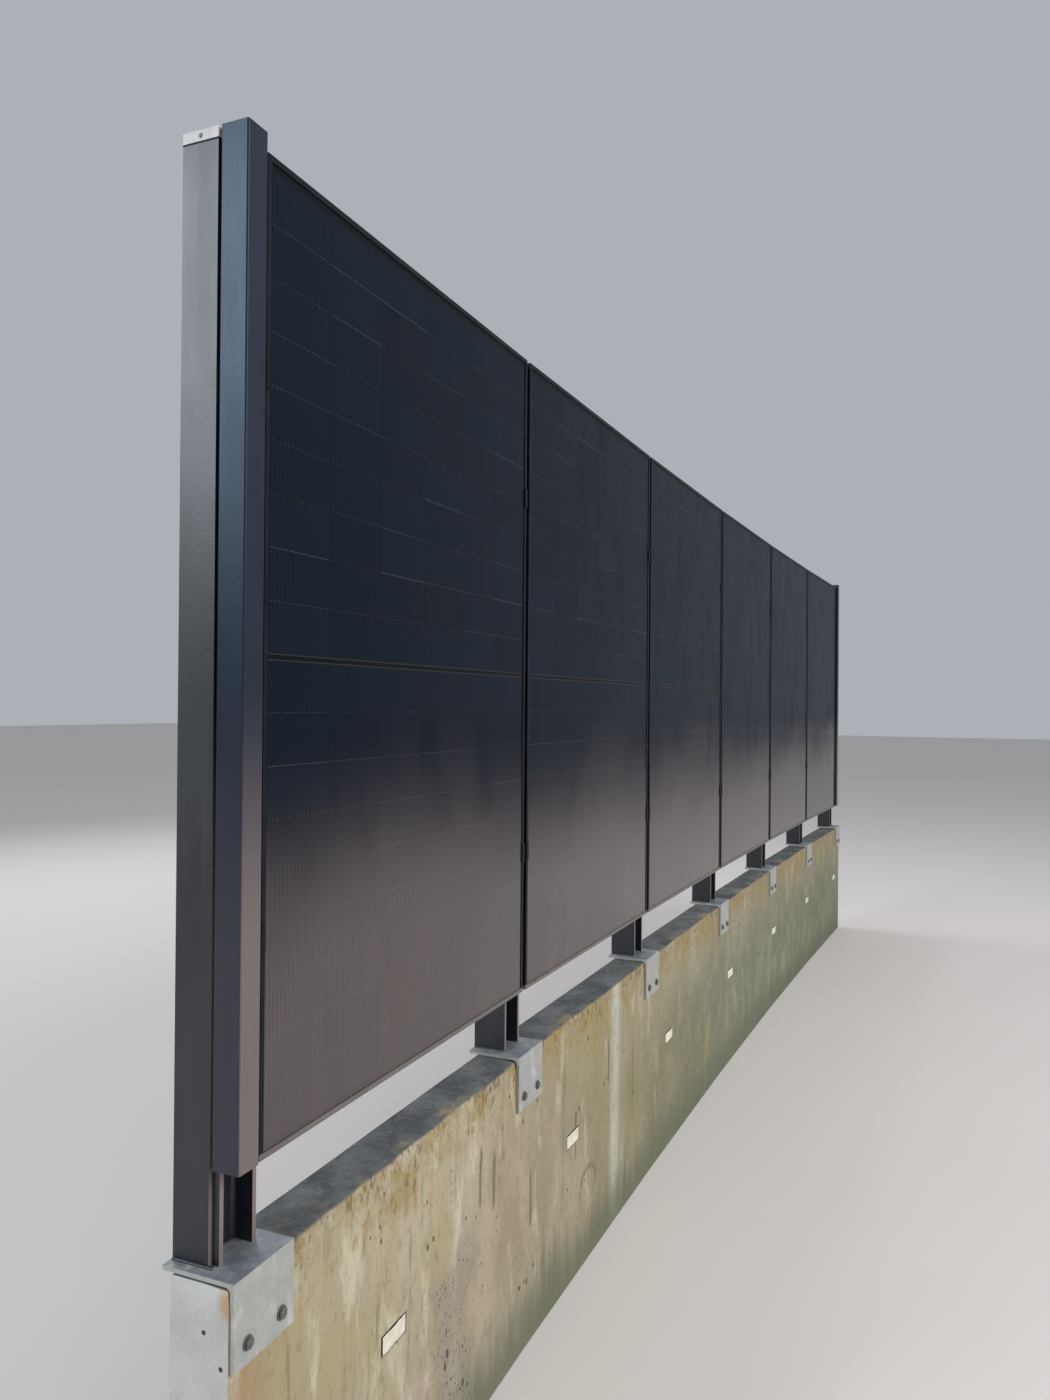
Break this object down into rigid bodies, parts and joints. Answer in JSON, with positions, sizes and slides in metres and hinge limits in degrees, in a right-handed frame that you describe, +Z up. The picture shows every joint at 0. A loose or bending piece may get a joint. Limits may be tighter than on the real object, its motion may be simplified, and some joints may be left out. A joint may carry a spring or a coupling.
{
  "type": "solar panel fence on a low cast wall",
  "caption": "Fence of upright framed solar modules on steel H posts, bracketed over the edge of a low cast concrete plinth wall, with end covers.",
  "frame": {"origin": "centre of the plinth wall's underside at the middle post, on the ground", "axes": "+X along the fence from its near end to its far end, -Y towards the road that the modules face, +Z up"},
  "size_m": [7.0966, 0.2176, 2.708],
  "materials": {
    "concrete": "cast, streaked and stained",
    "galvanised": "dull zinc with faint spangle",
    "post_coat": "satin anthracite coat",
    "cover_coat": "satin anthracite coat",
    "clamp_black": "black anodised",
    "frame_black": "black anodised, satin",
    "cell_glass": "glossy glass over near-black cells",
    "box_plastic": "matte moulded",
    "cap_grey": "pale satin"
  },
  "bodies": {
    "root": {"plinth_wall": "concrete", "base_bracket_1": "galvanised", "base_bracket_2": "galvanised", "base_bracket_3": "galvanised", "base_bracket_4": "galvanised", "base_bracket_5": "galvanised", "base_bracket_6": "galvanised", "base_bracket_7": "galvanised", "wall_anchors": "galvanised", "post_1": "post_coat", "post_2": "post_coat", "post_3": "post_coat", "post_4": "post_coat", "post_5": "post_coat", "post_6": "post_coat", "post_7": "post_coat", "mid_clamps_1": "clamp_black", "mid_clamps_2": "clamp_black", "mid_clamps_3": "clamp_black", "mid_clamps_4": "clamp_black", "mid_clamps_5": "clamp_black", "module_frame_1": "frame_black", "module_frame_2": "frame_black", "module_frame_3": "frame_black", "module_frame_4": "frame_black", "module_frame_5": "frame_black", "module_frame_6": "frame_black", "module_laminate_1": "cell_glass", "module_laminate_2": "cell_glass", "module_laminate_3": "cell_glass", "module_laminate_4": "cell_glass", "module_laminate_5": "cell_glass", "module_laminate_6": "cell_glass", "junction_boxes_1": "box_plastic", "junction_boxes_2": "box_plastic", "junction_boxes_3": "box_plastic", "junction_boxes_4": "box_plastic", "junction_boxes_5": "box_plastic", "junction_boxes_6": "box_plastic", "end_clamps_near": "clamp_black", "end_cover_near": "cover_coat", "post_cap_near": "cap_grey", "end_clamps_far": "clamp_black", "end_cover_far": "cover_coat", "post_cap_far": "cap_grey"}
  },
  "joints": []
}
